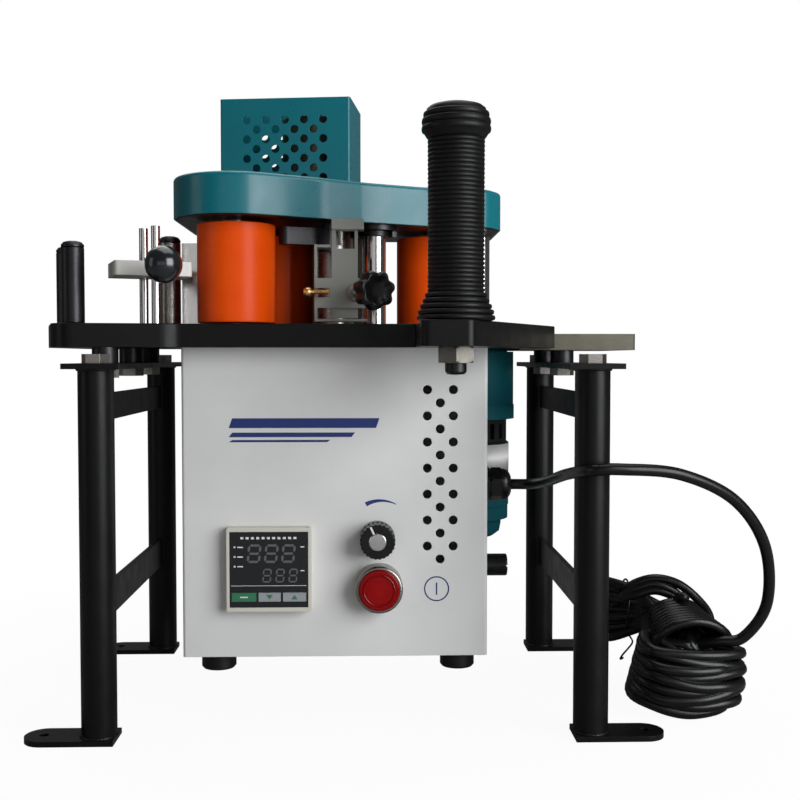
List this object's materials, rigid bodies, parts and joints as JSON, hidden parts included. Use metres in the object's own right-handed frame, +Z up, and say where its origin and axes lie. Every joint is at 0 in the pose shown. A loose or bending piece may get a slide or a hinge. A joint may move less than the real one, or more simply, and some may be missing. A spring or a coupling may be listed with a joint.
{
  "type": "edge banding machine",
  "caption": "Benchtop edge banding machine: black plate on leg stands, silicone rollers under a geared cover, hot glue hopper in a heat guard, control box, motor and handle.",
  "frame": {"origin": "centre of the rectangle of the four foot bolt holes, on the floor plane", "axes": "+X along the panel's travel, to the operator's right; +Y from the control side to the panel side; +Z up"},
  "size_m": [0.4174, 0.2415, 0.3694],
  "materials": {
    "black_paint": "satin black powder coat",
    "teal_paint": "semi-gloss teal enamel",
    "white_paint": "semi-gloss off-white powder coat",
    "grey_paint": "pale grey paint on bent sheet",
    "orange_silicone": "smooth orange silicone tyre",
    "steel": "turned and ground steel",
    "chrome": "polished chrome",
    "bare_aluminium": "milled bare aluminium",
    "bronze": "sintered bronze",
    "black_oxide": "black oxide",
    "black_plastic": "moulded black plastic",
    "cream_plastic": "moulded cream plastic",
    "dark_window": "dark glossy window",
    "green_key": "green membrane key",
    "grey_key": "grey membrane key",
    "red_plastic": "translucent red cap",
    "nylon": "white nylon",
    "rubber": "black rubber",
    "board_green": "printed circuit board"
  },
  "bodies": {
    "frame": {"base_plate": "black_paint", "box_feet": "rubber", "bushes": "bronze", "button_housing": "steel", "cable_gland": "black_plastic", "circuit_board": "board_green", "control_box_back": "white_paint", "control_box_shell": "white_paint", "controller_case": "cream_plastic", "controller_window": "dark_window", "countersunk_screws": "black_oxide", "fuse_holder": "black_plastic", "gear_cover": "teal_paint", "gear_plate": "black_paint", "glue_hopper": "bare_aluminium", "glue_pot": "bare_aluminium", "guide_rods": "chrome", "handle_fasteners": "steel", "handle_grip": "rubber", "heat_guard": "teal_paint", "heater_cartridge": "steel", "infeed_plate": "chrome", "left_stand": "black_paint", "motor_body": "teal_paint", "motor_gearbox": "teal_paint", "potentiometer": "steel", "power_cable": "rubber", "press_post": "grey_paint", "right_stand": "black_paint", "roller_pins": "black_oxide", "side_table": "bare_aluminium", "stand_bolts": "steel", "stand_spacers": "black_oxide", "support_posts": "chrome"},
    "press_drive": {"press_roller": "orange_silicone", "press_shaft": "steel", "press_gear": "steel"},
    "feed_drive": {"feed_roller": "orange_silicone", "feed_shaft": "steel", "feed_gear": "steel"},
    "glue_drive": {"glue_roller": "steel", "glue_gear": "steel"},
    "motor_rotor": {"motor_rotor": "steel"},
    "pinch_arm": {"pinch_arm": "black_oxide"},
    "pinch_roller": {"pinch_roller": "steel"},
    "guide_roller": {"guide_roller": "orange_silicone"},
    "front_tape_roller": {"front_tape_roller": "black_oxide"},
    "rear_tape_roller": {"rear_tape_roller": "black_oxide"},
    "steel_guide_roller": {"steel_guide_roller": "steel"},
    "tape_guide": {"tape_guide_block": "nylon"},
    "ball_knob": {"ball_knob": "black_plastic"},
    "tape_press": {"press_bracket": "grey_paint"},
    "star_knob": {"star_knob": "black_plastic"},
    "cutter_arm": {"cutter_arm": "black_oxide"},
    "speed_knob": {"speed_knob": "black_plastic"},
    "start_button": {"start_button": "red_plastic"},
    "key_set": {"key_set": "green_key"},
    "key_down": {"key_down": "grey_key"},
    "key_up": {"key_up": "grey_key"},
    "fuse_cap": {"fuse_cap": "black_plastic"}
  },
  "joints": [
    {"name": "press_spin", "type": "hinge", "parent": "frame", "child": "press_drive", "pos_m": [0.053, 0.036, 0.25], "axis": [0, 0, 1], "continuous": true},
    {"name": "feed_spin", "type": "hinge", "parent": "frame", "child": "feed_drive", "pos_m": [-0.06438, -0.03849, 0.25], "axis": [0, 0, 1], "continuous": true},
    {"name": "glue_spin", "type": "hinge", "parent": "frame", "child": "glue_drive", "pos_m": [-0.0101, 0.0057, 0.25], "axis": [0, 0, 1], "continuous": true},
    {"name": "motor_spin", "type": "hinge", "parent": "frame", "child": "motor_rotor", "pos_m": [0.07542, 0.05193, 0.14], "axis": [0, 0, 1], "continuous": true},
    {"name": "pinch_arm_swing", "type": "hinge", "parent": "frame", "child": "pinch_arm", "pos_m": [-0.095, 0.012, 0.228], "axis": [0, 0, 1], "range_deg": [0, 8]},
    {"name": "pinch_spin", "type": "hinge", "parent": "pinch_arm", "child": "pinch_roller", "pos_m": [-0.0698, -0.008, 0.255], "axis": [0, 0, 1], "continuous": true},
    {"name": "guide_roller_spin", "type": "hinge", "parent": "frame", "child": "guide_roller", "pos_m": [-0.0464, 0.036, 0.255], "axis": [0, 0, 1], "continuous": true},
    {"name": "front_tape_spin", "type": "hinge", "parent": "frame", "child": "front_tape_roller", "pos_m": [-0.1516, -0.065, 0.247], "axis": [0, 0, 1], "continuous": true},
    {"name": "rear_tape_spin", "type": "hinge", "parent": "frame", "child": "rear_tape_roller", "pos_m": [-0.1632, -0.033, 0.247], "axis": [0, 0, 1], "continuous": true},
    {"name": "steel_guide_spin", "type": "hinge", "parent": "frame", "child": "steel_guide_roller", "pos_m": [-0.1071, -0.0145, 0.251], "axis": [0, 0, 1], "continuous": true},
    {"name": "tape_guide_slide", "type": "slide", "parent": "frame", "child": "tape_guide", "axis": [0, 0, 1], "range_m": [-0.022, 0.016]},
    {"name": "ball_knob_turn", "type": "hinge", "parent": "tape_guide", "child": "ball_knob", "pos_m": [-0.1075, -0.0565, 0.2555], "axis": [0.2924, -0.9563, 0], "range_deg": [0, 180]},
    {"name": "tape_press_slide", "type": "slide", "parent": "frame", "child": "tape_press", "axis": [1, 0, 0], "range_m": [-0.008, 0]},
    {"name": "star_knob_turn", "type": "hinge", "parent": "tape_press", "child": "star_knob", "pos_m": [0.004, -0.0505, 0.243], "axis": [0.4019, -0.9157, 0], "range_deg": [0, 180]},
    {"name": "cutter_swing", "type": "hinge", "parent": "frame", "child": "cutter_arm", "pos_m": [-0.012, -0.027, 0.276], "axis": [0, 0, 1], "range_deg": [0, 20]},
    {"name": "speed_knob_turn", "type": "hinge", "parent": "frame", "child": "speed_knob", "pos_m": [0.0172, -0.06, 0.1026], "axis": [0, -1, 0], "range_deg": [-175, 125]},
    {"name": "start_button_press", "type": "slide", "parent": "frame", "child": "start_button", "axis": [0, 1, 0], "range_m": [0, 0.003]},
    {"name": "key_set_press", "type": "slide", "parent": "frame", "child": "key_set", "axis": [0, 1, 0], "range_m": [0, 0.0004]},
    {"name": "key_down_press", "type": "slide", "parent": "frame", "child": "key_down", "axis": [0, 1, 0], "range_m": [0, 0.0004]},
    {"name": "key_up_press", "type": "slide", "parent": "frame", "child": "key_up", "axis": [0, 1, 0], "range_m": [0, 0.0004]},
    {"name": "fuse_cap_turn", "type": "hinge", "parent": "frame", "child": "fuse_cap", "pos_m": [0.09, -0.005, 0.0778], "axis": [1, 0, 0], "range_deg": [0, 90]}
  ],
  "couplings": [
    {"joint": "feed_spin", "follows": "press_spin", "ratio": 1},
    {"joint": "glue_spin", "follows": "press_spin", "ratio": -0.84211},
    {"joint": "motor_spin", "follows": "press_spin", "ratio": -1.75}
  ]
}
